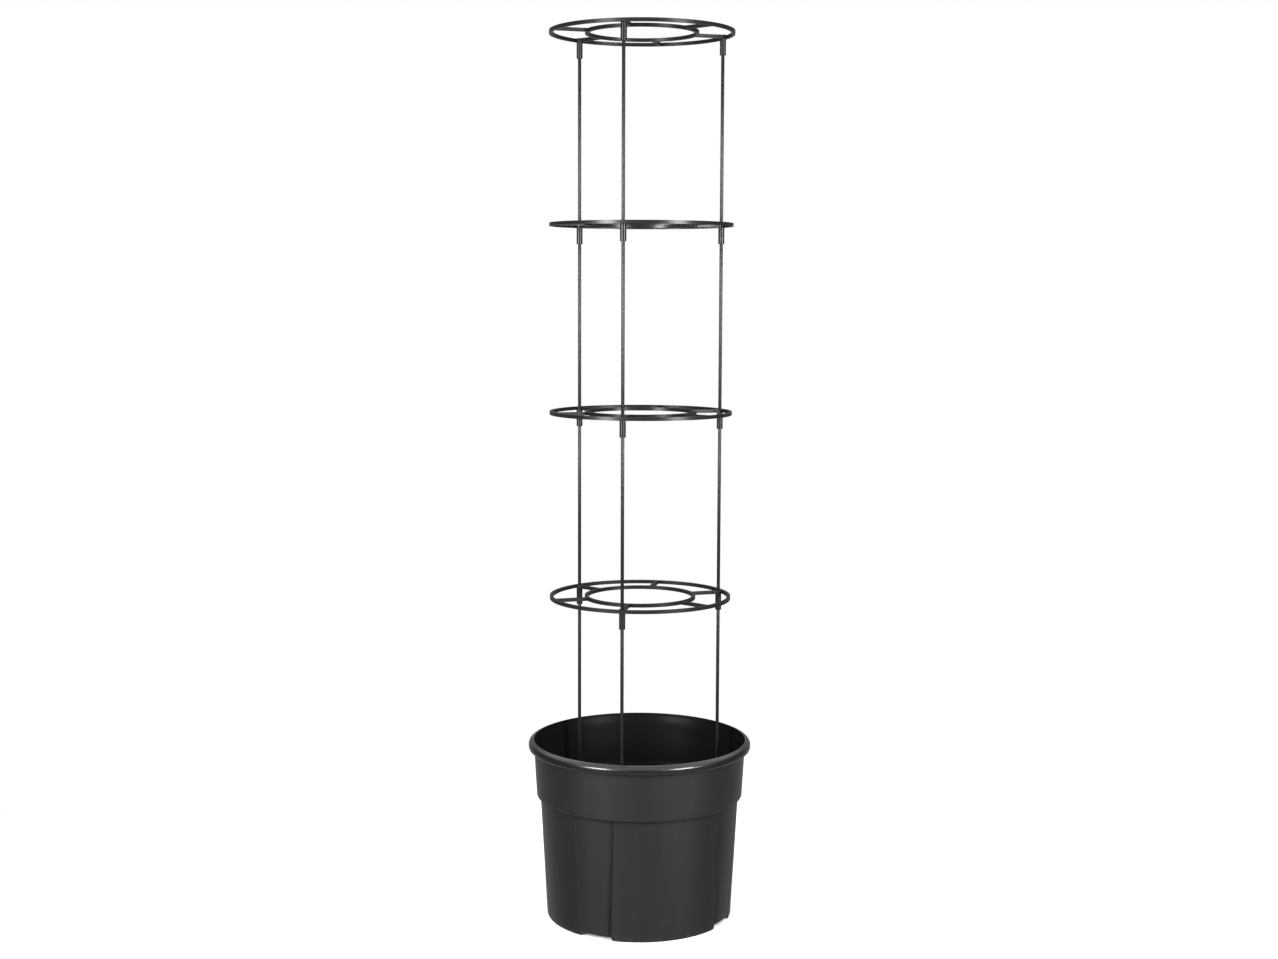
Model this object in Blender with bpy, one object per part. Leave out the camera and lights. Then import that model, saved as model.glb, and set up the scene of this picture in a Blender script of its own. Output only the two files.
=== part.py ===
"""Round planter pot with a four-ring plant tower, modelled in Blender.

Run it with: blender --background --python part.py

Units are metres and +Z is up. The origin is the centre of the pot's base. The pot's wall has four raised
panels, centred on +X, +Y, -X and -Y. Three rods a tier stand at 0, 120 and 240 degrees from +X. They plug
into sockets on the pot's floor and into tubular sleeves on each ring, so that the tower stacks up:
pot, lower rods, ring 1, rods, ring 2, rods, ring 3, rods, ring 4.
"""

import math

import bmesh
import bpy
from mathutils import Matrix, Vector

# The pot's outer wall, from the ground up.
BASE_RADIUS = 0.1229
WALL_DRAFT = math.radians(3.15)
SHOULDER_HEIGHT = 0.1625
COLLAR_RADIUS = 0.1367
LIP_RADIUS = 0.1475
LIP_TOP = 0.2370
LIP_SKIRT_BOTTOM = 0.2255
LIP_OPENING_RADIUS = 0.1398
WALL_THICKNESS = 0.0022
EDGE_ROUNDING = 0.0015
SHOULDER_FILLET = 0.0005
LIP_FILLET = 0.0011
HEM_ROUNDING = 0.0012

# The lip's outline from its widest circle over its sloping top: steps in from LIP_RADIUS, down from LIP_TOP.
LIP_OUTLINE = (
    (0.0000, 0.0060),
    (0.0006, 0.0038),
    (0.0021, 0.0019),
    (0.0044, 0.0007),
    (0.0066, 0.0000),
    (0.0075, 0.0004),
)

# Heights of the wall's rows of faces, as shares of the shoulder's height.
OUTER_ROW_SHARES = (0.1, 0.5, 1.0)
INNER_ROW_SHARES = (0.98, 0.5)

# Four shallow channels run down the wall between the raised panels. They narrow and deepen downwards.
PANELS = 4
CHANNEL_DEPTH_TOP = 0.0007
CHANNEL_DEPTH_BOTTOM = 0.0023
CHANNEL_HALF_ANGLE_TOP = math.radians(11.6)
CHANNEL_HALF_ANGLE_BOTTOM = math.radians(9.0)
CHANNEL_FLANK = math.radians(1.1)
CHANNEL_COLUMNS = 4
PANEL_COLUMNS = 14

# The floor stands on a foot under each panel.
FOOT_HEIGHT = 0.0040
FOOT_INNER_RADIUS = 0.1075
FLOOR_THICKNESS = 0.0025
FLOOR_CORNER = 0.0030
DRAIN_HOLES = 8
DRAIN_RADIUS = 0.0050
DRAIN_CIRCLE_RADIUS = 0.0640

# Rods and the sockets and sleeves that hold them.
RODS_PER_TIER = 3
ROD_PLACES = ("right", "back", "front")
ROD_RADIUS = 0.0022
ROD_CIRCLE_RADIUS = 0.1105
ROD_FACETS = 12
END_GAP = 0.0003
BORE_RADIUS = 0.0025
BORE_DEPTH = 0.0120
FLOOR_SOCKET_RADIUS = 0.0044
FLOOR_SOCKET_HEIGHT = 0.0350
TUBE_FACETS = 16

# Rings: an outer band, an inner band, six spokes and three sleeves.
RING_COUNT = 4
LOWEST_RING_TOP = 0.4305
RING_PITCH = 0.2432
RING_HEIGHT = 0.0045
OUTER_BAND_RADIUS = 0.1191
OUTER_BAND_WIDTH = 0.0041
OUTER_BAND_FACETS = 72
INNER_BAND_RADIUS = 0.0731
INNER_BAND_WIDTH = 0.0042
INNER_BAND_FACETS = 48
SPOKES = 6
SPOKE_WIDTH = 0.0040
SLEEVE_RADIUS = 0.0040
SLEEVE_LENGTH = 0.0260

# Overlap that lets a union find one body, and how far a cutter runs past the face it opens.
UNION_OVERLAP = 0.0010
CUTTER_MARGIN = 0.0100

# Edges sharper than this stay sharp where a round piece is smoothed.
SMOOTH_ANGLE = math.radians(35.0)

FLOOR_TOP = FOOT_HEIGHT + FLOOR_THICKNESS


def clear_scene():
    """Remove every object, so that the model starts from an empty scene."""
    for obj in list(bpy.data.objects):
        bpy.data.objects.remove(obj, do_unlink=True)


# Materials


def make_material(name, color, roughness, metallic):
    """Return a Principled material."""
    material = bpy.data.materials.new(name)
    material.use_nodes = True
    shader = material.node_tree.nodes["Principled BSDF"]
    shader.inputs["Base Color"].default_value = (*color, 1.0)
    shader.inputs["Roughness"].default_value = roughness
    shader.inputs["Metallic"].default_value = metallic
    return material


def pot_plastic():
    """Satin anthracite plastic."""
    return make_material("pot_plastic", (0.035, 0.036, 0.039), 0.38, 0.0)


def ring_plastic():
    """Semi-gloss dark grey plastic."""
    return make_material("ring_plastic", (0.022, 0.022, 0.024), 0.30, 0.0)


def rod_coating():
    """Dull, finely textured dark coating on steel."""
    return make_material("rod_coating", (0.030, 0.030, 0.030), 0.55, 0.0)


# Mesh helpers


def add_object(name, mesh, material):
    """Link a mesh into the scene as a named object with its material."""
    obj = bpy.data.objects.new(name, mesh)
    bpy.context.scene.collection.objects.link(obj)
    obj.data.materials.clear()
    obj.data.materials.append(material)
    return obj


def finish_mesh(shape, name):
    """Turn a bmesh into a mesh whose faces point outwards."""
    bmesh.ops.recalc_face_normals(shape, faces=shape.faces)
    mesh = bpy.data.meshes.new(name)
    shape.to_mesh(mesh)
    shape.free()
    return mesh


def shade_round(mesh):
    """Smooth the round faces and keep the sharp edges."""
    mesh.shade_smooth()
    mesh.set_sharp_from_angle(angle=SMOOTH_ANGLE)


def around(angle, radius, height):
    """Return the point at an angle from +X, a radius and a height."""
    return Vector((radius * math.cos(angle), radius * math.sin(angle), height))


def cylinder_mesh(name, radius, bottom, top, facets):
    """Return an upright cylinder on the Z axis."""
    shape = bmesh.new()
    bmesh.ops.create_cone(
        shape,
        cap_ends=True,
        segments=facets,
        radius1=radius,
        radius2=radius,
        depth=top - bottom,
        matrix=Matrix.Translation((0.0, 0.0, (top + bottom) / 2.0)),
    )
    return finish_mesh(shape, name)


def box_mesh(name, low, high):
    """Return a box between two opposite corners."""
    shape = bmesh.new()
    size = [high[i] - low[i] for i in range(3)]
    centre = [(high[i] + low[i]) / 2.0 for i in range(3)]
    bmesh.ops.create_cube(
        shape, size=1.0, matrix=Matrix.Translation(centre) @ Matrix.Diagonal((*size, 1.0))
    )
    return finish_mesh(shape, name)


def band_mesh(name, outer_radius, width, height, facets):
    """Return a flat ring of rectangular section, spun about the Z axis, with its top at height 0."""
    shape = bmesh.new()
    inner_radius = outer_radius - width
    corners = (
        (inner_radius, -height),
        (outer_radius, -height),
        (outer_radius, 0.0),
        (inner_radius, 0.0),
    )
    profile = [shape.verts.new((radius, 0.0, z)) for radius, z in corners]
    edges = [shape.edges.new((profile[i], profile[(i + 1) % 4])) for i in range(4)]
    bmesh.ops.spin(
        shape,
        geom=profile + edges,
        cent=(0.0, 0.0, 0.0),
        axis=(0.0, 0.0, 1.0),
        angle=math.tau,
        steps=facets,
        use_merge=True,
    )
    return finish_mesh(shape, name)


def helper_object(mesh, angle=0.0, radius=0.0):
    """Place a mesh as a hidden helper, turned about Z and moved out along its own X."""
    helper = bpy.data.objects.new(mesh.name, mesh)
    helper.matrix_world = Matrix.Rotation(angle, 4, "Z") @ Matrix.Translation((radius, 0.0, 0.0))
    helper.hide_render = True
    helper.display_type = "WIRE"
    bpy.context.scene.collection.objects.link(helper)
    return helper


def combine(name, start, added, cut):
    """Unite the added helpers with the start mesh, cut the others away and return the mesh."""
    body = helper_object(start)
    steps = [(helper, "UNION") for helper in added] + [(helper, "DIFFERENCE") for helper in cut]
    for helper, operation in steps:
        modifier = body.modifiers.new(helper.name, "BOOLEAN")
        modifier.operation = operation
        modifier.solver = "EXACT"
        modifier.object = helper
    bpy.context.view_layer.update()
    evaluated = body.evaluated_get(bpy.context.evaluated_depsgraph_get())
    mesh = bpy.data.meshes.new_from_object(evaluated)
    mesh.name = name
    for helper in [body, *added, *cut]:
        bpy.data.objects.remove(helper, do_unlink=True)
    return mesh


def rod_angles():
    """Return the angles of a tier's rods from +X."""
    return [math.tau * i / RODS_PER_TIER for i in range(RODS_PER_TIER)]


# The pot


def wall_radius(height):
    """Return the outer radius of a raised panel at a height."""
    return BASE_RADIUS + height * math.tan(WALL_DRAFT)


def channel_share(height):
    """Return 0 at the ground and 1 at the shoulder, where the channels end."""
    return min(height / SHOULDER_HEIGHT, 1.0)


def channel_depth(height):
    """Return how far a channel is set back from the panels at a height."""
    return CHANNEL_DEPTH_BOTTOM + (CHANNEL_DEPTH_TOP - CHANNEL_DEPTH_BOTTOM) * channel_share(height)


def column_angles(height):
    """Return (angle, in_channel) for each column of points round the pot at a height.

    A quarter turn starts at a panel's middle, crosses the channel and ends at the next panel's middle,
    so the first column is on +X. The channel's flank is the step between its last column and the panel.
    """
    share = channel_share(height)
    half = CHANNEL_HALF_ANGLE_BOTTOM + (CHANNEL_HALF_ANGLE_TOP - CHANNEL_HALF_ANGLE_BOTTOM) * share
    quarter = math.tau / PANELS
    panel_half = quarter / 2.0 - half - CHANNEL_FLANK
    half_columns = PANEL_COLUMNS // 2
    columns = []
    for panel in range(PANELS):
        start = panel * quarter
        for i in range(half_columns + 1):
            columns.append((start + panel_half * i / half_columns, False))
        for i in range(CHANNEL_COLUMNS + 1):
            turn = 2.0 * i / CHANNEL_COLUMNS - 1.0
            columns.append((start + quarter / 2.0 + half * turn, True))
        for i in range(half_columns):
            columns.append((start + quarter - panel_half * (1.0 - i / half_columns), False))
    return columns


def level_loop(shape, radius, height, channel_height=None):
    """Add a loop of points round the pot. With a channel height, its channels are set back."""
    loop = []
    for angle, in_channel in column_angles(height):
        if in_channel and channel_height is not None:
            set_back = channel_depth(channel_height)
            loop.append(shape.verts.new(around(angle, radius - set_back, channel_height)))
        else:
            loop.append(shape.verts.new(around(angle, radius, height)))
    return loop


def foot_loop(shape, radius, height):
    """Add a loop of points under the pot, low under the panels and level with the floor elsewhere."""
    loop = []
    for angle, in_channel in column_angles(height):
        loop.append(shape.verts.new(around(angle, radius, FOOT_HEIGHT if in_channel else height)))
    return loop


def outer_wall_loops(shape):
    """Add the loops of the outer wall, from the feet to the lip's skirt."""
    rounding = EDGE_ROUNDING
    quarter_round = rounding * (1.0 - math.sqrt(0.5))
    channel_low = FOOT_HEIGHT
    loops = [
        level_loop(shape, wall_radius(0.0) - rounding, 0.0, channel_low),
        level_loop(shape, wall_radius(0.0) - quarter_round, quarter_round, channel_low + quarter_round),
        level_loop(shape, wall_radius(rounding), rounding, channel_low + rounding),
    ]
    wall_top = SHOULDER_HEIGHT - SHOULDER_FILLET
    for share in OUTER_ROW_SHARES:
        height = share * wall_top
        loops.append(level_loop(shape, wall_radius(height), height, height))
    loops.append(level_loop(shape, COLLAR_RADIUS - rounding, SHOULDER_HEIGHT))
    loops.append(level_loop(shape, COLLAR_RADIUS - quarter_round, SHOULDER_HEIGHT + quarter_round))
    loops.append(level_loop(shape, COLLAR_RADIUS, SHOULDER_HEIGHT + rounding))
    return loops


def collar_radius(height):
    """Return the collar's outer radius at a height."""
    return COLLAR_RADIUS + (height - SHOULDER_HEIGHT) * math.tan(WALL_DRAFT)


def lip_loops(shape):
    """Add the loops of the rolled lip: up under its skirt, down the skirt, over its sloping top."""
    gap_top = LIP_TOP - LIP_OUTLINE[2][1] - WALL_THICKNESS
    gap_inner = collar_radius(gap_top)
    skirt_inner = LIP_RADIUS - WALL_THICKNESS
    loops = [
        level_loop(shape, gap_inner, gap_top - 2.0 * LIP_FILLET),
        level_loop(shape, (gap_inner + skirt_inner) / 2.0, gap_top),
        level_loop(shape, skirt_inner, gap_top - 3.0 * LIP_FILLET),
        level_loop(shape, skirt_inner, LIP_SKIRT_BOTTOM),
        level_loop(shape, LIP_RADIUS - HEM_ROUNDING, LIP_SKIRT_BOTTOM),
        level_loop(shape, LIP_RADIUS, LIP_SKIRT_BOTTOM + HEM_ROUNDING),
    ]
    for inwards, down in LIP_OUTLINE:
        loops.append(level_loop(shape, LIP_RADIUS - inwards, LIP_TOP - down))
    loops.append(level_loop(shape, LIP_OPENING_RADIUS, LIP_TOP - WALL_THICKNESS))
    return loops


def inner_wall_loops(shape):
    """Add the loops of the inner wall, from under the lip down to the floor."""
    wall_inside_top = SHOULDER_HEIGHT + WALL_THICKNESS
    floor_radius = wall_radius(FLOOR_TOP) - WALL_THICKNESS
    loops = [
        level_loop(shape, collar_radius(LIP_SKIRT_BOTTOM) - WALL_THICKNESS, LIP_SKIRT_BOTTOM),
        level_loop(shape, collar_radius(wall_inside_top) - WALL_THICKNESS, wall_inside_top),
    ]
    for share in INNER_ROW_SHARES:
        height = share * SHOULDER_HEIGHT
        loops.append(level_loop(shape, wall_radius(height) - WALL_THICKNESS, height, height))
    corner_height = FLOOR_TOP + FLOOR_CORNER
    corner_radius = wall_radius(corner_height) - WALL_THICKNESS
    loops.append(level_loop(shape, corner_radius, corner_height, corner_height))
    loops.append(level_loop(shape, floor_radius - CHANNEL_DEPTH_BOTTOM - FLOOR_CORNER, FLOOR_TOP))
    return loops


def shell_mesh():
    """Return the pot's shell with its feet, lip and floor, without holes or sockets."""
    shape = bmesh.new()
    loops = [
        foot_loop(shape, FOOT_INNER_RADIUS, FOOT_HEIGHT),
        foot_loop(shape, FOOT_INNER_RADIUS + EDGE_ROUNDING, 0.0),
    ]
    loops += outer_wall_loops(shape)
    loops += lip_loops(shape)
    loops += inner_wall_loops(shape)
    for lower, upper in zip(loops, loops[1:]):
        count = len(lower)
        for i in range(count):
            j = (i + 1) % count
            shape.faces.new((lower[i], lower[j], upper[j], upper[i]))
    shape.faces.new(loops[0])
    shape.faces.new(loops[-1])
    return finish_mesh(shape, "pot_shell")


def floor_sockets():
    """Return the helpers of the tubular sockets that stand on the floor, and of their bores."""
    tubes = []
    bores = []
    top = FLOOR_TOP + FLOOR_SOCKET_HEIGHT
    for angle in rod_angles():
        tube = cylinder_mesh(
            "floor_socket", FLOOR_SOCKET_RADIUS, FLOOR_TOP - UNION_OVERLAP, top, TUBE_FACETS
        )
        bore = cylinder_mesh("socket_bore", BORE_RADIUS, FLOOR_TOP, top + CUTTER_MARGIN, TUBE_FACETS)
        tubes.append(helper_object(tube, angle, ROD_CIRCLE_RADIUS))
        bores.append(helper_object(bore, angle, ROD_CIRCLE_RADIUS))
    return tubes, bores


def drain_holes():
    """Return the helpers that cut the drain holes through the floor."""
    bottom = FOOT_HEIGHT - UNION_OVERLAP
    top = FLOOR_TOP + UNION_OVERLAP
    cutters = []
    for i in range(DRAIN_HOLES):
        cutter = cylinder_mesh("drain_hole", DRAIN_RADIUS, bottom, top, TUBE_FACETS)
        angle = math.tau * (i + 0.5) / DRAIN_HOLES
        cutters.append(helper_object(cutter, angle, DRAIN_CIRCLE_RADIUS))
    return cutters


def make_pot():
    """Make the pot: one moulding with its lip, wall channels, feet, drain holes and rod sockets."""
    tubes, bores = floor_sockets()
    mesh = combine("pot", shell_mesh(), tubes, bores + drain_holes())
    shade_round(mesh)
    add_object("pot", mesh, pot_plastic())


# Rings and rods


def ring_mesh():
    """Return one ring moulding, with its top face at height 0."""
    outer_inside = OUTER_BAND_RADIUS - OUTER_BAND_WIDTH
    inner_band = band_mesh("inner_band", INNER_BAND_RADIUS, INNER_BAND_WIDTH, RING_HEIGHT, INNER_BAND_FACETS)
    added = [helper_object(inner_band)]
    for i in range(SPOKES):
        low = (INNER_BAND_RADIUS - UNION_OVERLAP, -SPOKE_WIDTH / 2.0, -RING_HEIGHT)
        high = (outer_inside + UNION_OVERLAP, SPOKE_WIDTH / 2.0, 0.0)
        added.append(helper_object(box_mesh("spoke", low, high), math.tau * i / SPOKES))
    sleeve_bottom = -SLEEVE_LENGTH
    cut = []
    for angle in rod_angles():
        sleeve = cylinder_mesh("sleeve", SLEEVE_RADIUS, sleeve_bottom, 0.0, TUBE_FACETS)
        upper = cylinder_mesh("upper_bore", BORE_RADIUS, -BORE_DEPTH, CUTTER_MARGIN, TUBE_FACETS)
        lower = cylinder_mesh(
            "lower_bore", BORE_RADIUS, sleeve_bottom - CUTTER_MARGIN, sleeve_bottom + BORE_DEPTH, TUBE_FACETS
        )
        added.append(helper_object(sleeve, angle, ROD_CIRCLE_RADIUS))
        cut.append(helper_object(upper, angle, ROD_CIRCLE_RADIUS))
        cut.append(helper_object(lower, angle, ROD_CIRCLE_RADIUS))
    outer_band = band_mesh("outer_band", OUTER_BAND_RADIUS, OUTER_BAND_WIDTH, RING_HEIGHT, OUTER_BAND_FACETS)
    mesh = combine("ring", outer_band, added, cut)
    shade_round(mesh)
    return mesh


def ring_top(ring):
    """Return the height of a ring's top face. Ring 1 is the lowest."""
    return LOWEST_RING_TOP + (ring - 1) * RING_PITCH


def make_rings():
    """Make the four equal rings, which share one mesh."""
    mesh = ring_mesh()
    material = ring_plastic()
    for ring in range(1, RING_COUNT + 1):
        obj = add_object(f"support_ring_{ring}", mesh, material)
        obj.location.z = ring_top(ring)


def rod_ends(tier):
    """Return the bottom and top of the rods under ring number `tier`."""
    top = ring_top(tier) - SLEEVE_LENGTH + BORE_DEPTH - END_GAP
    if tier == 1:
        return FLOOR_TOP + END_GAP, top
    return ring_top(tier - 1) - BORE_DEPTH + END_GAP, top


def make_rods():
    """Make the rods of each tier, each standing on its own joint line."""
    material = rod_coating()
    for tier in range(1, RING_COUNT + 1):
        bottom, top = rod_ends(tier)
        mesh = cylinder_mesh(f"rod_tier_{tier}", ROD_RADIUS, 0.0, top - bottom, ROD_FACETS)
        shade_round(mesh)
        for side, angle in zip(ROD_PLACES, rod_angles()):
            obj = add_object(f"rod_{tier}_{side}", mesh, material)
            obj.location = around(angle, ROD_CIRCLE_RADIUS, bottom)


def main():
    clear_scene()
    make_pot()
    make_rings()
    make_rods()


main()
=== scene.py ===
"""Looks for the planter pot with its ring tower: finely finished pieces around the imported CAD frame."""

import math

import bmesh
import bpy
from mathutils import Matrix, Vector


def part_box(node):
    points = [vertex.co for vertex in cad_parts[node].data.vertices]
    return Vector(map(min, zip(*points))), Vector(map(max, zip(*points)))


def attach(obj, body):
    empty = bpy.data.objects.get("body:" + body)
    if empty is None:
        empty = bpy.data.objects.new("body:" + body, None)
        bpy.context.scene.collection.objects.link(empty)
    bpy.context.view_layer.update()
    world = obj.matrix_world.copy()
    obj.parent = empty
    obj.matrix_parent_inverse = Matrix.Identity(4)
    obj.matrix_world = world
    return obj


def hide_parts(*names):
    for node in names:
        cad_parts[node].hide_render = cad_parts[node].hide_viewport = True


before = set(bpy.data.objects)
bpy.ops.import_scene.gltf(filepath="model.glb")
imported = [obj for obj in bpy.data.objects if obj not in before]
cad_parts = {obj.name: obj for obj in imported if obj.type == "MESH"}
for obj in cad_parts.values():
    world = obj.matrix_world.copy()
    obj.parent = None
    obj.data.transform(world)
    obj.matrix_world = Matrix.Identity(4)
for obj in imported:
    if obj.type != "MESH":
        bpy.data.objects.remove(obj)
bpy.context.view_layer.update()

MM = 0.001

# Camera: where the photograph was taken from, about the tower's axis.
CAMERA_AZIMUTH = math.radians(-18.27)
CAMERA_DISTANCE = 2.343
CAMERA_HEIGHT = 0.8383
CAMERA_PITCH = math.radians(6.211)
CAMERA_PAN = math.radians(0.047)
CAMERA_ROLL = math.radians(0.213)
CAMERA_LENS = 50.57
CAMERA_SENSOR = 36.0

# The pot's outline, which follows the CAD pot.
BASE_RADIUS = 122.9 * MM
WALL_DRAFT = math.radians(3.15)
SHOULDER_HEIGHT = 162.5 * MM
COLLAR_RADIUS = 136.7 * MM
COLLAR_EDGE = 0.9 * MM
LIP_SKIRT_BOTTOM = 225.5 * MM
WALL = 2.2 * MM
BASE_EDGE = 1.5 * MM

# The rolled lip as (radius, height) in millimetres: up inside its hem, then round the outside and
# over the top.
LIP_HOLLOW = (
    (140.55, 230.80), (140.75, 232.20), (141.30, 233.30), (142.20, 233.70),
    (143.40, 233.40), (144.40, 232.60), (145.05, 231.40), (145.30, 230.00),
)
LIP_OUTLINE = (
    (145.30, 226.60), (145.45, 225.90), (145.90, 225.52), (146.50, 225.60), (147.05, 226.10),
    (147.35, 227.00), (147.48, 228.20), (147.50, 229.60), (147.50, 231.00), (147.30, 232.20),
    (146.90, 233.20), (146.30, 234.10), (145.40, 235.00), (144.30, 235.70), (143.10, 236.25),
    (142.00, 236.65), (141.20, 236.90), (140.60, 237.00), (140.20, 236.90), (139.95, 236.60),
    (139.82, 236.10), (139.78, 235.40), (139.80, 234.60),
)

# The pot's base.
FOOT_HEIGHT = 4.0 * MM
FOOT_INNER_RADIUS = 107.5 * MM
FLOOR_TOP = 6.5 * MM
FLOOR_CORNER = 3.0 * MM
DRAIN_HOLES = 8
DRAIN_RADIUS = 5.0 * MM
DRAIN_CIRCLE_RADIUS = 64.0 * MM

# The bevelled mouth of a hole: how much it widens, and where the bevel starts and ends about the surface.
MOUTH_WIDTH = 0.6 * MM
MOUTH_BELOW = 0.4 * MM
MOUTH_ABOVE = 0.2 * MM
HOLE_SIDES = 40

# The channels in the wall, between four raised panels. The front and back panels stand proudest, so that
# each channel is deepest beside them and shallowest beside the side panels.
PANELS = 4
CHANNEL_DEPTH_TOP = 0.7 * MM
CHANNEL_DEPTH_BOTTOM = 2.3 * MM
CHANNEL_HALF_TOP = math.radians(12.7)
CHANNEL_HALF_BOTTOM = math.radians(10.1)
FLANK_WIDTH = math.radians(1.2)
SHALLOW_END = 0.3
CHANNEL_MIDDLE = 0.65
GROOVE_DEPTH = 1.6 * MM
CORNER_WIDTH = math.radians(1.5)
CORNER_SHARE = 0.75
PANEL_COLUMNS = 30
CORNER_COLUMNS = 6
FLANK_COLUMNS = 8
CHANNEL_COLUMNS = 12
LIFT_TOP = 14.0 * MM

# Rods, sockets and rings.
RODS_PER_TIER = 3
ROD_CIRCLE_RADIUS = 110.5 * MM
ROD_RADIUS = 2.2 * MM
BORE_RADIUS = 2.5 * MM
BORE_DEPTH = 12.0 * MM
SOCKET_RADIUS = 4.4 * MM
SOCKET_HEIGHT = 35.0 * MM
RING_COUNT = 4
RING_HEIGHT = 4.5 * MM
OUTER_BAND_RADIUS = 119.1 * MM
OUTER_BAND_WIDTH = 4.1 * MM
INNER_BAND_RADIUS = 73.1 * MM
INNER_BAND_WIDTH = 4.2 * MM
SPOKES = 6
SPOKE_WIDTH = 4.0 * MM
SLEEVE_RADIUS = 4.0 * MM
SLEEVE_LENGTH = 26.0 * MM
RING_EDGE = 0.4 * MM
OVERLAP = 1.0 * MM
SHARP_EDGE = math.radians(35.0)
ROD_SIDES = 40
SLEEVE_SIDES = 48
INNER_BAND_SIDES = 144
OUTER_BAND_SIDES = 240

# How bright each part of the room is.
CEILING_LIGHT = 1.7
BACK_LIGHT = 0.3
FLOOR_LIGHT = 0.44
BESIDE_LIGHT = 1.0
BEHIND_LIGHT = 0.4
SIDE_LIGHT = 0.04

# The softboxes stand level and face the tower's axis.
SOFTBOX_DISTANCE = 2.2
SOFTBOX_HEIGHT = 0.91
SOFTBOX_WIDTH = 0.7
SOFTBOX_TALL = 0.8

# The floor fades into the white background between these distances from the axis.
FLOOR_RADIUS = 60.0
FADE_START = 0.18
FADE_END = 1.10

SIDES = ("right", "back", "front")


# Mesh helpers


def link(name, mesh):
    """Add a mesh to the scene as a named piece."""
    piece = bpy.data.objects.new(name, mesh)
    bpy.context.scene.collection.objects.link(piece)
    return piece


def to_mesh(shape, name):
    """Turn a bmesh into a mesh whose faces point out."""
    bmesh.ops.recalc_face_normals(shape, faces=shape.faces)
    mesh = bpy.data.meshes.new(name)
    shape.to_mesh(mesh)
    shape.free()
    return mesh


def shade(mesh):
    """Smooth the mesh, apart from its sharp edges."""
    mesh.shade_smooth()
    mesh.set_sharp_from_angle(angle=SHARP_EDGE)


def arc(centre_radius, centre_height, size, start, end, steps):
    """Return points (radius, height) on an arc, from one angle in degrees to another."""
    points = []
    for i in range(steps + 1):
        turn = math.radians(start + (end - start) * i / steps)
        points.append((centre_radius + size * math.cos(turn), centre_height + size * math.sin(turn)))
    return points


def line(start, end, steps):
    """Return the points between two (radius, height) points, without the first."""
    return [
        (start[0] + (end[0] - start[0]) * i / steps, start[1] + (end[1] - start[1]) * i / steps)
        for i in range(1, steps + 1)
    ]


def turned_mesh(name, profile, sides):
    """Return a closed turned solid from an open outline that starts and ends on the Z axis or joins up."""
    shape = bmesh.new()
    loops = []
    for radius, height in profile:
        loop = []
        for i in range(sides):
            turn = math.tau * i / sides
            loop.append(shape.verts.new((radius * math.cos(turn), radius * math.sin(turn), height)))
        loops.append(loop)
    for lower, upper in zip(loops, loops[1:]):
        for i in range(sides):
            j = (i + 1) % sides
            shape.faces.new((lower[i], lower[j], upper[j], upper[i]))
    shape.faces.new(loops[0])
    shape.faces.new(loops[-1])
    return to_mesh(shape, name)


def band_mesh(name, outer_radius, width, height, sides):
    """Return a ring of rectangular section whose top is at height 0."""
    shape = bmesh.new()
    inner_radius = outer_radius - width
    corners = ((inner_radius, -height), (outer_radius, -height), (outer_radius, 0.0), (inner_radius, 0.0))
    loops = []
    for radius, z in corners:
        loop = []
        for i in range(sides):
            turn = math.tau * i / sides
            loop.append(shape.verts.new((radius * math.cos(turn), radius * math.sin(turn), z)))
        loops.append(loop)
    for k in range(len(corners)):
        lower, upper = loops[k], loops[(k + 1) % len(corners)]
        for i in range(sides):
            j = (i + 1) % sides
            shape.faces.new((lower[i], lower[j], upper[j], upper[i]))
    return to_mesh(shape, name)


def box_mesh(name, low, high):
    """Return a box between two corners."""
    shape = bmesh.new()
    size = [high[i] - low[i] for i in range(3)]
    centre = [(high[i] + low[i]) / 2.0 for i in range(3)]
    bmesh.ops.create_cube(shape, matrix=Matrix.Translation(centre) @ Matrix.Diagonal((*size, 1.0)))
    return to_mesh(shape, name)


def helper(mesh, angle=0.0, radius=0.0):
    """Place a mesh as a helper for a Boolean, turned about Z and moved out."""
    obj = link(mesh.name, mesh)
    obj.matrix_world = Matrix.Rotation(angle, 4, "Z") @ Matrix.Translation((radius, 0.0, 0.0))
    return obj


def combine(name, start, added, cut, bevel=0.0):
    """Unite the added helpers with the start mesh, cut the others away, bevel it if asked and return it."""
    body = helper(start)
    for tool, operation in [(t, "UNION") for t in added] + [(t, "DIFFERENCE") for t in cut]:
        modifier = body.modifiers.new(tool.name, "BOOLEAN")
        modifier.operation = operation
        modifier.solver = "EXACT"
        modifier.object = tool
    if bevel:
        rounding = body.modifiers.new("rounding", "BEVEL")
        rounding.width = bevel
        rounding.segments = 3
        rounding.limit_method = "ANGLE"
        rounding.angle_limit = math.radians(40.0)
        body.modifiers.new("flat_faces", "WEIGHTED_NORMAL")
    body.data.shade_smooth()
    bpy.context.view_layer.update()
    evaluated = body.evaluated_get(bpy.context.evaluated_depsgraph_get())
    mesh = bpy.data.meshes.new_from_object(evaluated)
    mesh.name = name
    for obj in [body, *added, *cut]:
        bpy.data.objects.remove(obj, do_unlink=True)
    return mesh


def rod_angles():
    """Return the angles of a tier's rods from +X."""
    return [math.tau * i / RODS_PER_TIER for i in range(RODS_PER_TIER)]


# Materials


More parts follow.
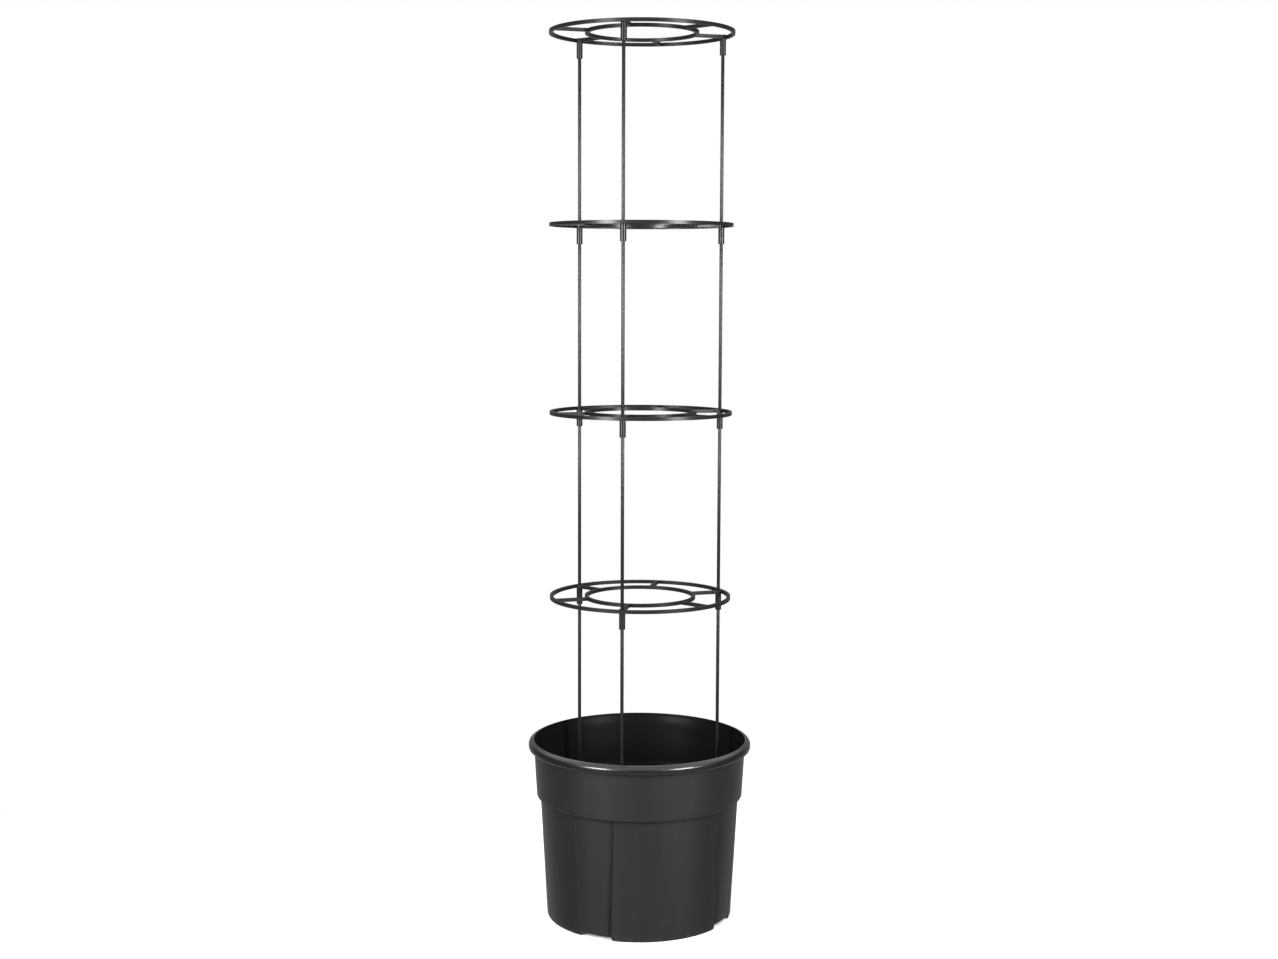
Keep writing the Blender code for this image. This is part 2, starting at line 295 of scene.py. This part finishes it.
class Nodes:
    """Builds a node material step by step."""

    def __init__(self, name):
        self.material = bpy.data.materials.new(name)
        self.material.use_nodes = True
        self.tree = self.material.node_tree
        self.shader = self.tree.nodes["Principled BSDF"]
        coordinates = self.tree.nodes.new("ShaderNodeTexCoord")
        self.position = coordinates.outputs["Object"]
        self.normal = coordinates.outputs["Normal"]

    def link(self, output, target):
        self.tree.links.new(output, target)

    def stretched(self, scale):
        """Return the object coordinates scaled by three factors."""
        node = self.tree.nodes.new("ShaderNodeMapping")
        node.inputs["Scale"].default_value = scale
        self.link(self.position, node.inputs["Vector"])
        return node.outputs["Vector"]

    def noise(self, scale, detail=2.0, vector=None, roughness=0.5):
        """Return a noise value between 0 and 1."""
        node = self.tree.nodes.new("ShaderNodeTexNoise")
        node.inputs["Scale"].default_value = scale
        node.inputs["Detail"].default_value = detail
        node.inputs["Roughness"].default_value = roughness
        self.link(vector or self.position, node.inputs["Vector"])
        return node.outputs["Fac"]

    def height(self):
        """Return the height in the piece's own coordinates."""
        node = self.tree.nodes.new("ShaderNodeSeparateXYZ")
        self.link(self.position, node.inputs["Vector"])
        return node.outputs["Z"]

    def outward(self):
        """Return 1 where the surface faces away from the piece's own axis and 0 where it faces the axis."""
        dot = self.tree.nodes.new("ShaderNodeVectorMath")
        dot.operation = "DOT_PRODUCT"
        self.link(self.stretched((1.0, 1.0, 0.0)), dot.inputs[0])
        self.link(self.normal, dot.inputs[1])
        return self.remap(dot.outputs["Value"], -0.02, 0.02, 0.0, 1.0)

    def openness(self, distance):
        """Return 1 on open surface, falling where the piece's own surface closes in, as in a corner."""
        node = self.tree.nodes.new("ShaderNodeAmbientOcclusion")
        node.only_local = True
        node.samples = 16
        node.inputs["Distance"].default_value = distance
        return node.outputs["AO"]

    def edgeward(self):
        """Return 0 where the surface faces the viewer, rising to 1 where it turns away."""
        node = self.tree.nodes.new("ShaderNodeLayerWeight")
        node.inputs["Blend"].default_value = 0.5
        return node.outputs["Facing"]

    def remap(self, value, low, high, to_low, to_high):
        """Return the value mapped from one range onto another, clamped."""
        node = self.tree.nodes.new("ShaderNodeMapRange")
        for name, number in (("From Min", low), ("From Max", high), ("To Min", to_low), ("To Max", to_high)):
            node.inputs[name].default_value = number
        self.link(value, node.inputs["Value"])
        return node.outputs["Result"]

    def maths(self, operation, first, second):
        """Return the result of a maths step. The second value may be a number."""
        node = self.tree.nodes.new("ShaderNodeMath")
        node.operation = operation
        self.link(first, node.inputs[0])
        if isinstance(second, float):
            node.inputs[1].default_value = second
        else:
            self.link(second, node.inputs[1])
        return node.outputs["Value"]

    def mix(self, factor, first, second):
        """Return a colour between two colours."""
        node = self.tree.nodes.new("ShaderNodeMix")
        node.data_type = "RGBA"
        self.link(factor, node.inputs["Factor"])
        node.inputs["A"].default_value = (*first, 1.0)
        node.inputs["B"].default_value = (*second, 1.0)
        return node.outputs["Result"]

    def bump(self, value, distance, below=None):
        """Return a normal raised by a value, over another bump if one is given."""
        node = self.tree.nodes.new("ShaderNodeBump")
        node.inputs["Strength"].default_value = 1.0
        node.inputs["Distance"].default_value = distance
        self.link(value, node.inputs["Height"])
        if below is not None:
            self.link(below, node.inputs["Normal"])
        return node.outputs["Normal"]


def pot_plastic():
    """Satin anthracite plastic: fine spark texture, soft flow variation, a polished lip and scuffed feet.

    The inside has painted shade: a darker blue-green colour and a tenth of the outside's reflection, while
    the outside is lifted a little toward pale purple grey. Corners have painted shade too: their reflection
    is cut where the surface closes in.
    """
    n = Nodes("pot_plastic_satin")
    height = n.height()
    outward = n.outward()
    flow = n.noise(9.0, 3.0, n.stretched((1.0, 1.0, 0.45)))
    grain = n.noise(1500.0, 3.0)
    streaks = n.noise(60.0, 2.0, n.stretched((1.0, 1.0, 0.06)))
    scuffs = n.noise(240.0, 5.0, roughness=0.7)
    near_ground = n.remap(height, 0.0, 9.0 * MM, 1.0, 0.0)
    worn = n.maths("MULTIPLY", n.remap(scuffs, 0.52, 0.66, 0.0, 1.0), near_ground)
    # Painted light and shade: outward-facing surface is lifted a little toward pale purple grey and the
    # inside stays darker; the scuffs near the ground are real wear.
    wear_and_outside_light = n.maths("MAXIMUM", n.maths("MULTIPLY", worn, 0.9), n.maths("MULTIPLY", outward, 0.06))
    n.link(n.mix(wear_and_outside_light, (0.0028, 0.0034, 0.0036), (0.056, 0.049, 0.058)), n.shader.inputs["Base Color"])
    satin = n.remap(flow, 0.3, 0.7, 0.38, 0.43)
    satin = n.maths("ADD", satin, n.remap(streaks, 0.35, 0.65, -0.018, 0.018))
    lip = n.remap(height, LIP_SKIRT_BOTTOM - 2.0 * MM, LIP_SKIRT_BOTTOM, 0.0, 0.15)
    satin = n.maths("SUBTRACT", satin, n.maths("MULTIPLY", lip, outward))
    satin = n.maths("ADD", satin, n.maths("MULTIPLY", worn, 0.25))
    n.link(satin, n.shader.inputs["Roughness"])
    # Painted shade: the reflection falls to a fifth in corners and creases where the pot's own surface
    # closes in, such as beside the channel steps and under the collar.
    corners = n.remap(n.openness(9.0 * MM), 0.68, 0.97, 0.2, 1.0)
    # Painted shade: inside the pot the reflection is cut to a tenth of the outside's.
    reflection = n.maths("MULTIPLY", n.remap(outward, 0.0, 1.0, 0.05, 0.5), corners)
    n.link(reflection, n.shader.inputs["Specular IOR Level"])
    rough = n.bump(flow, 0.0006)
    n.link(n.bump(grain, 0.00003, rough), n.shader.inputs["Normal"])
    n.shader.inputs["IOR"].default_value = 1.49
    return n.material


def ring_plastic():
    """Semi-gloss dark plastic: slight flow variation in gloss and a very fine texture."""
    n = Nodes("ring_plastic_semi_gloss")
    flow = n.noise(26.0, 3.0)
    grain = n.noise(1800.0, 2.0)
    n.link(n.mix(flow, (0.0080, 0.0080, 0.0092), (0.0110, 0.0108, 0.0120)), n.shader.inputs["Base Color"])
    n.link(n.remap(flow, 0.3, 0.7, 0.27, 0.33), n.shader.inputs["Roughness"])
    n.link(n.bump(grain, 0.000003, n.bump(flow, 0.0001)), n.shader.inputs["Normal"])
    n.shader.inputs["IOR"].default_value = 1.49
    # Painted shade: the reflection is cut from 0.22 to 0.04 where the surface turns away from the view, so
    # the edges stay dark.
    n.link(n.remap(n.edgeward(), 0.15, 0.75, 0.22, 0.04), n.shader.inputs["Specular IOR Level"])
    return n.material


def rod_coating():
    """Dull, pebbled dark coating on steel rod."""
    n = Nodes("rod_coating_pebbled")
    pebbles = n.noise(2400.0, 3.0)
    patches = n.noise(70.0, 3.0)
    n.link(n.mix(patches, (0.0050, 0.0050, 0.0054), (0.0090, 0.0092, 0.0098)), n.shader.inputs["Base Color"])
    n.link(n.remap(pebbles, 0.3, 0.7, 0.25, 0.31), n.shader.inputs["Roughness"])
    n.link(n.bump(pebbles, 0.0000025), n.shader.inputs["Normal"])
    n.shader.inputs["IOR"].default_value = 1.5
    # Painted shade: the reflection is cut from 0.27 to 0.02 where the surface turns away from the view, so
    # the rod's sides stay dark.
    n.link(n.remap(n.edgeward(), 0.05, 0.5, 0.27, 0.02), n.shader.inputs["Specular IOR Level"])
    return n.material


# The pot


def wall_radius(height):
    """Return the outer radius of a raised panel at a height."""
    return BASE_RADIUS + height * math.tan(WALL_DRAFT)


def collar_radius(height):
    """Return the collar's outer radius at a height."""
    return COLLAR_RADIUS + (height - SHOULDER_HEIGHT) * math.tan(WALL_DRAFT)


def half_columns(height, proud):
    """Return (angle, share, groove, lift_share) from a panel's middle to a channel's middle.

    share is how much of the channel's depth applies: 0 on a panel, 1 at a proud panel's edge and less at the
    other panels. groove is 1 at the foot of a proud panel's edge. lift_share is 1 in the channel and starts
    to rise at the panel's rounded lower corner.
    """
    up = min(max(height / SHOULDER_HEIGHT, 0.0), 1.0)
    half = CHANNEL_HALF_BOTTOM + (CHANNEL_HALF_TOP - CHANNEL_HALF_BOTTOM) * up
    panel_edge = math.tau / PANELS / 2.0 - half
    end_share = 1.0 if proud else SHALLOW_END
    columns = []
    for i in range(PANEL_COLUMNS):
        columns.append(((panel_edge - CORNER_WIDTH) * i / PANEL_COLUMNS, 0.0, 0.0, 0.0))
    for i in range(CORNER_COLUMNS):
        turn = i / CORNER_COLUMNS * math.pi / 2.0
        angle = panel_edge - CORNER_WIDTH * (1.0 - math.sin(turn))
        columns.append((angle, 0.0, 0.0, CORNER_SHARE * (1.0 - math.cos(turn))))
    for i in range(FLANK_COLUMNS):
        turn = i / FLANK_COLUMNS * math.pi / 2.0
        drop = math.sin(turn)
        angle = panel_edge + FLANK_WIDTH * (1.0 - math.cos(turn))
        lift_share = CORNER_SHARE + (1.0 - CORNER_SHARE) * drop
        columns.append((angle, end_share * drop, drop if proud else 0.0, lift_share))
    for i in range(CHANNEL_COLUMNS + 1):
        t = i / CHANNEL_COLUMNS
        angle = panel_edge + FLANK_WIDTH + (half - FLANK_WIDTH) * t
        share = end_share + (CHANNEL_MIDDLE - end_share) * t
        columns.append((angle, share, (1.0 - t) ** 4 if proud else 0.0, 1.0))
    return columns


def channel_columns(height):
    """Return (angle, share, groove, lift_share) for each column of points round the pot."""
    quarter = math.tau / PANELS
    columns = []
    for panel in range(PANELS):
        proud = panel % 2 == 1
        first_half = half_columns(height, proud)
        second_half = half_columns(height, not proud)[1:-1]
        columns += [(quarter * panel + angle, *shares) for angle, *shares in first_half]
        columns += [(quarter * (panel + 1) - angle, *shares) for angle, *shares in reversed(second_half)]
    return columns


def pot_stations():
    """Return (radius, height, set_back, lift) along the pot's section, from under its floor to its inside.

    set_back is how far a channel stands back there and lift is how much higher it is.
    """
    def depth(height):
        up = min(max(height / SHOULDER_HEIGHT, 0.0), 1.0)
        return CHANNEL_DEPTH_BOTTOM + (CHANNEL_DEPTH_TOP - CHANNEL_DEPTH_BOTTOM) * up

    def level(points, channelled=True):
        stations = []
        for radius, height in points:
            lift = FOOT_HEIGHT * max(0.0, 1.0 - height / LIFT_TOP)
            shares = (depth(height), lift) if channelled else (0.0, 0.0)
            stations.append((radius, height, *shares))
        return stations

    foot = [(FOOT_INNER_RADIUS - 0.5 * MM, FOOT_HEIGHT)]
    foot += line(foot[0], (FOOT_INNER_RADIUS, FOOT_HEIGHT - 0.4 * MM), 1)
    foot += line(foot[-1], (FOOT_INNER_RADIUS + 0.5 * MM, 0.4 * MM), 2)
    foot += line(foot[-1], (FOOT_INNER_RADIUS + 1.0 * MM, 0.0), 1)
    foot += line(foot[-1], (BASE_RADIUS - BASE_EDGE - 2.0 * MM, 0.0), 2)
    stations = [(radius, height, 0.0, FOOT_HEIGHT - height) for radius, height in foot]
    stations += level(arc(BASE_RADIUS - BASE_EDGE, BASE_EDGE, BASE_EDGE, -90.0, 0.0, 5))
    wall = line((wall_radius(BASE_EDGE), BASE_EDGE), (wall_radius(LIFT_TOP), LIFT_TOP), 5)
    wall_top = SHOULDER_HEIGHT - 0.6 * MM
    wall += line(wall[-1], (wall_radius(wall_top), wall_top), 24)
    stations += level(wall)
    shelf = [(wall_radius(SHOULDER_HEIGHT) + 0.6 * MM, SHOULDER_HEIGHT)]
    stations += level(shelf)
    collar = arc(COLLAR_RADIUS - COLLAR_EDGE, SHOULDER_HEIGHT + COLLAR_EDGE, COLLAR_EDGE, -90.0, 0.0, 5)
    collar += line(collar[-1], (collar_radius(LIP_SKIRT_BOTTOM), LIP_SKIRT_BOTTOM), 12)
    collar += [(radius * MM, height * MM) for radius, height in LIP_HOLLOW + LIP_OUTLINE]
    inside_radius = collar_radius(LIP_SKIRT_BOTTOM) - WALL
    shelf_inside = SHOULDER_HEIGHT + WALL
    collar += line(collar[-1], (inside_radius, LIP_SKIRT_BOTTOM), 4)
    collar += line(collar[-1], (collar_radius(shelf_inside) - WALL, shelf_inside + 1.5 * MM), 10)
    collar += [(collar_radius(shelf_inside) - WALL - 0.5 * MM, shelf_inside + 0.4 * MM)]
    collar += [(collar_radius(shelf_inside) - WALL - 1.5 * MM, shelf_inside)]
    stations += level(collar, channelled=False)
    inner_top = SHOULDER_HEIGHT - 0.5 * MM
    inner = [(wall_radius(inner_top) - WALL, inner_top)]
    corner_height = FLOOR_TOP + FLOOR_CORNER
    corner_radius = wall_radius(corner_height) - WALL
    inner += line(inner[0], (corner_radius, corner_height), 20)
    inner += arc(corner_radius - FLOOR_CORNER, corner_height, FLOOR_CORNER, 0.0, -90.0, 5)[1:]
    for radius, height in inner:
        stations.append((radius, height, depth(height), 0.0))
    stations.append((corner_radius - 3.0 * FLOOR_CORNER, FLOOR_TOP, 0.0, 0.0))
    return stations


def pot_shell():
    """Return the pot's moulding without holes or sockets."""
    shape = bmesh.new()
    loops = []
    for radius, height, set_back, lift in pot_stations():
        loop = []
        for angle, share, groove, lift_share in channel_columns(height):
            grooved = GROOVE_DEPTH * groove if set_back > 0.0 else 0.0
            r = radius - set_back * share - grooved
            z = height + lift * lift_share
            loop.append(shape.verts.new((r * math.cos(angle), r * math.sin(angle), z)))
        loops.append(loop)
    for lower, upper in zip(loops, loops[1:]):
        count = len(lower)
        for i in range(count):
            j = (i + 1) % count
            shape.faces.new((lower[i], lower[j], upper[j], upper[i]))
    shape.faces.new(loops[0])
    shape.faces.new(loops[-1])
    return to_mesh(shape, "pot_shell")


def rounded_tube_profile(radius, bottom, top, edge):
    """Return the outline of a rod or tube with rounded edges at its top."""
    points = [(radius, bottom)]
    points += arc(radius - edge, top - edge, edge, 0.0, 90.0, 4)
    return points


def hole_profile(radius, bottom, surface):
    """Return the outline of a cutter for a hole with a bevelled mouth at a surface."""
    wide = radius + MOUTH_WIDTH
    return [
        (radius, bottom),
        (radius, surface - MOUTH_BELOW),
        (wide, surface + MOUTH_ABOVE),
        (wide, surface + OVERLAP),
    ]


def pot_mesh():
    """Return the whole pot: shell, rod sockets and drain holes."""
    added = []
    cut = []
    socket_top = FLOOR_TOP + SOCKET_HEIGHT
    for angle in rod_angles():
        tube = rounded_tube_profile(SOCKET_RADIUS, FLOOR_TOP - OVERLAP, socket_top, 0.5 * MM)
        added.append(helper(turned_mesh("socket", tube, HOLE_SIDES), angle, ROD_CIRCLE_RADIUS))
        bore = hole_profile(BORE_RADIUS, FLOOR_TOP, socket_top)
        cut.append(helper(turned_mesh("socket_bore", bore, HOLE_SIDES), angle, ROD_CIRCLE_RADIUS))
    for i in range(DRAIN_HOLES):
        hole = hole_profile(DRAIN_RADIUS, FOOT_HEIGHT - OVERLAP, FLOOR_TOP)
        angle = math.tau * (i + 0.5) / DRAIN_HOLES
        cut.append(helper(turned_mesh("drain", hole, HOLE_SIDES), angle, DRAIN_CIRCLE_RADIUS))
    return combine("pot_fine", pot_shell(), added, cut)


def make_pot():
    """Make the finely finished pot."""
    mesh = pot_mesh()
    shade(mesh)
    mesh.materials.clear()
    mesh.materials.append(pot_plastic())
    piece = link("planter_pot", mesh)
    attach(piece, "pot")
    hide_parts("pot")


# Rings


def ring_mesh():
    """Return the ring moulding, its top at height 0.

    The bevel comes out with almost no width on this mesh, so the edges stay sharp and it leaves very
    small triangles along them.
    """
    outer_inside = OUTER_BAND_RADIUS - OUTER_BAND_WIDTH
    inner = band_mesh("inner_band", INNER_BAND_RADIUS, INNER_BAND_WIDTH, RING_HEIGHT, INNER_BAND_SIDES)
    added = [helper(inner)]
    for i in range(SPOKES):
        low = (INNER_BAND_RADIUS - OVERLAP, -SPOKE_WIDTH / 2.0, -RING_HEIGHT)
        high = (outer_inside + OVERLAP, SPOKE_WIDTH / 2.0, 0.0)
        added.append(helper(box_mesh("spoke", low, high), math.tau * i / SPOKES))
    cut = []
    for angle in rod_angles():
        sleeve = [(SLEEVE_RADIUS, -SLEEVE_LENGTH), (SLEEVE_RADIUS, 0.0)]
        upper = [(BORE_RADIUS, -BORE_DEPTH), (BORE_RADIUS, OVERLAP)]
        lower = [(BORE_RADIUS, -SLEEVE_LENGTH - OVERLAP), (BORE_RADIUS, BORE_DEPTH - SLEEVE_LENGTH)]
        added.append(helper(turned_mesh("sleeve", sleeve, SLEEVE_SIDES), angle, ROD_CIRCLE_RADIUS))
        cut.append(helper(turned_mesh("upper_bore", upper, SLEEVE_SIDES), angle, ROD_CIRCLE_RADIUS))
        cut.append(helper(turned_mesh("lower_bore", lower, SLEEVE_SIDES), angle, ROD_CIRCLE_RADIUS))
    outer = band_mesh("outer_band", OUTER_BAND_RADIUS, OUTER_BAND_WIDTH, RING_HEIGHT, OUTER_BAND_SIDES)
    return combine("ring_fine", outer, added, cut, bevel=RING_EDGE)


def make_rings():
    """Make the four rings, which share one mesh."""
    mesh = ring_mesh()
    mesh.materials.clear()
    mesh.materials.append(ring_plastic())
    for ring in range(1, RING_COUNT + 1):
        node = f"support_ring_{ring}"
        piece = link(f"ring_moulding_{ring}", mesh)
        piece.location.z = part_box(node)[1].z
        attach(piece, f"ring_{ring}")
        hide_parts(node)


# Rods


def rod_mesh(length):
    """Return a rod that stands on height 0, with rounded ends."""
    edge = 0.5 * MM
    profile = arc(ROD_RADIUS - edge, edge, edge, -90.0, 0.0, 4)
    profile += arc(ROD_RADIUS - edge, length - edge, edge, 0.0, 90.0, 4)
    mesh = turned_mesh("rod_fine", profile, ROD_SIDES)
    shade(mesh)
    return mesh


def make_rods():
    """Make the rods of each tier."""
    material = rod_coating()
    for tier in range(1, RING_COUNT + 1):
        low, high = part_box(f"rod_{tier}_{SIDES[0]}")
        mesh = rod_mesh(high.z - low.z)
        mesh.materials.append(material)
        for side, angle in zip(SIDES, rod_angles()):
            piece = link(f"tower_rod_{tier}_{side}", mesh)
            piece.location = (
                ROD_CIRCLE_RADIUS * math.cos(angle), ROD_CIRCLE_RADIUS * math.sin(angle), low.z
            )
            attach(piece, f"rods_{tier}")
            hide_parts(f"rod_{tier}_{side}")


# The stage


def camera_direction(azimuth):
    """Return the level unit vector from the axis towards an azimuth counted from the camera's side."""
    turn = CAMERA_AZIMUTH + azimuth
    return Vector((math.sin(turn), -math.cos(turn), 0.0))


def make_camera():
    """Set the camera where the photograph was taken from."""
    data = bpy.data.cameras.new("photo_camera")
    data.sensor_width = CAMERA_SENSOR
    data.lens = CAMERA_LENS
    data.clip_end = 200.0
    camera = bpy.data.objects.new("photo_camera", data)
    bpy.context.scene.collection.objects.link(camera)
    place = camera_direction(0.0) * CAMERA_DISTANCE
    place.z = CAMERA_HEIGHT
    turn = Matrix.Rotation(CAMERA_AZIMUTH + CAMERA_PAN, 4, "Z")
    tilt = Matrix.Rotation(math.radians(90.0) - CAMERA_PITCH, 4, "X")
    roll = Matrix.Rotation(CAMERA_ROLL, 4, "Z")
    camera.matrix_world = Matrix.Translation(place) @ turn @ tilt @ roll
    bpy.context.scene.camera = camera


def make_floor():
    """Lay a wide pale floor that takes soft shadows near the pot and fades into the white background."""
    shape = bmesh.new()
    bmesh.ops.create_circle(shape, cap_ends=True, segments=96, radius=FLOOR_RADIUS)
    floor = link("pale_floor", to_mesh(shape, "pale_floor"))
    material = bpy.data.materials.new("pale_floor")
    material.use_nodes = True
    tree = material.node_tree
    tree.nodes.clear()
    output = tree.nodes.new("ShaderNodeOutputMaterial")
    near = tree.nodes.new("ShaderNodeBsdfDiffuse")
    near.inputs["Color"].default_value = (0.86, 0.86, 0.86, 1.0)
    far = tree.nodes.new("ShaderNodeEmission")
    place = tree.nodes.new("ShaderNodeTexCoord")
    distance = tree.nodes.new("ShaderNodeVectorMath")
    distance.operation = "LENGTH"
    tree.links.new(place.outputs["Object"], distance.inputs[0])
    blend = tree.nodes.new("ShaderNodeMapRange")
    blend.interpolation_type = "SMOOTHSTEP"
    blend.inputs["From Min"].default_value = FADE_START
    blend.inputs["From Max"].default_value = FADE_END
    tree.links.new(distance.outputs["Value"], blend.inputs["Value"])
    mix = tree.nodes.new("ShaderNodeMixShader")
    tree.links.new(blend.outputs["Result"], mix.inputs[0])
    tree.links.new(near.outputs["BSDF"], mix.inputs[1])
    tree.links.new(far.outputs["Emission"], mix.inputs[2])
    tree.links.new(mix.outputs["Shader"], output.inputs["Surface"])
    floor.data.materials.append(material)
    floor.visible_glossy = False
    floor.visible_shadow = False


def make_world():
    """Surround the stage with a plain white studio: bright ceiling, back wall and floor, dim sides."""
    world = bpy.data.worlds.new("studio")
    bpy.context.scene.world = world
    world.use_nodes = True
    tree = world.node_tree
    tree.nodes.clear()
    output = tree.nodes.new("ShaderNodeOutputWorld")
    coordinates = tree.nodes.new("ShaderNodeTexCoord")

    def along(direction):
        """Return how far the ray points along a direction, from -1 to 1."""
        dot = tree.nodes.new("ShaderNodeVectorMath")
        dot.operation = "DOT_PRODUCT"
        dot.inputs[1].default_value = direction
        tree.links.new(coordinates.outputs["Generated"], dot.inputs[0])
        return dot.outputs["Value"]

    def glow(value, start, full, strength):
        """Return a soft step in brightness between two values."""
        step = tree.nodes.new("ShaderNodeMapRange")
        step.interpolation_type = "SMOOTHSTEP"
        numbers = (("From Min", start), ("From Max", full), ("To Min", 0.0), ("To Max", strength))
        for name, number in numbers:
            step.inputs[name].default_value = number
        tree.links.new(value, step.inputs["Value"])
        return step.outputs["Result"]

    def combined(operation, first, second):
        """Return the sum or product of two brightness values."""
        node = tree.nodes.new("ShaderNodeMath")
        node.operation = operation
        tree.links.new(first, node.inputs[0])
        tree.links.new(second, node.inputs[1])
        return node.outputs["Value"]

    forward = along(camera_direction(0.0))
    up = along((0.0, 0.0, 1.0))
    ceiling = glow(up, 0.40, 0.66, CEILING_LIGHT)
    back_wall = glow(forward, -0.55, -0.97, BACK_LIGHT)
    below = glow(up, -0.15, -0.50, 1.0)
    far_below = glow(up, -0.50, -0.80, 1.0)
    floor_ahead = combined("MULTIPLY", glow(forward, -0.15, 0.80, FLOOR_LIGHT), below)
    floor_beside = combined("MULTIPLY", glow(forward, 0.20, -0.10, BESIDE_LIGHT), far_below)
    floor_behind = combined("MULTIPLY", glow(forward, -0.10, -0.50, BEHIND_LIGHT), below)
    total = combined("ADD", ceiling, back_wall)
    for part in (floor_ahead, floor_beside, floor_behind):
        total = combined("ADD", total, part)
    dim = tree.nodes.new("ShaderNodeMath")
    dim.operation = "ADD"
    dim.inputs[1].default_value = SIDE_LIGHT
    tree.links.new(total, dim.inputs[0])
    room = tree.nodes.new("ShaderNodeBackground")
    room.inputs["Color"].default_value = (0.98, 0.99, 1.0, 1.0)
    tree.links.new(dim.outputs["Value"], room.inputs["Strength"])
    white = tree.nodes.new("ShaderNodeBackground")
    white.inputs["Color"].default_value = (1.0, 1.0, 1.0, 1.0)
    path = tree.nodes.new("ShaderNodeLightPath")
    mix = tree.nodes.new("ShaderNodeMixShader")
    tree.links.new(path.outputs["Is Camera Ray"], mix.inputs[0])
    tree.links.new(room.outputs["Background"], mix.inputs[1])
    tree.links.new(white.outputs["Background"], mix.inputs[2])
    tree.links.new(mix.outputs["Shader"], output.inputs["Surface"])


def softbox(name, azimuth, power):
    """Stand a soft rectangular light that faces the tower."""
    data = bpy.data.lights.new(name, "AREA")
    data.shape = "RECTANGLE"
    data.size = SOFTBOX_WIDTH
    data.size_y = SOFTBOX_TALL
    data.energy = power
    light = bpy.data.objects.new(name, data)
    bpy.context.scene.collection.objects.link(light)
    place = camera_direction(math.radians(azimuth)) * SOFTBOX_DISTANCE
    place.z = SOFTBOX_HEIGHT
    aim = Vector((0.0, 0.0, SOFTBOX_HEIGHT)) - place
    light.matrix_world = Matrix.Translation(place) @ aim.to_track_quat("-Z", "Y").to_matrix().to_4x4()
    light.visible_camera = False


def make_lights():
    """Stand two tall softboxes in front, one at each side."""
    softbox("left_softbox", -42.0, 92.0)
    softbox("right_softbox", 45.0, 88.0)


def main():
    make_camera()
    make_world()
    make_lights()
    make_floor()
    make_pot()
    make_rings()
    make_rods()
    bpy.context.scene.view_settings.view_transform = "Standard"


main()
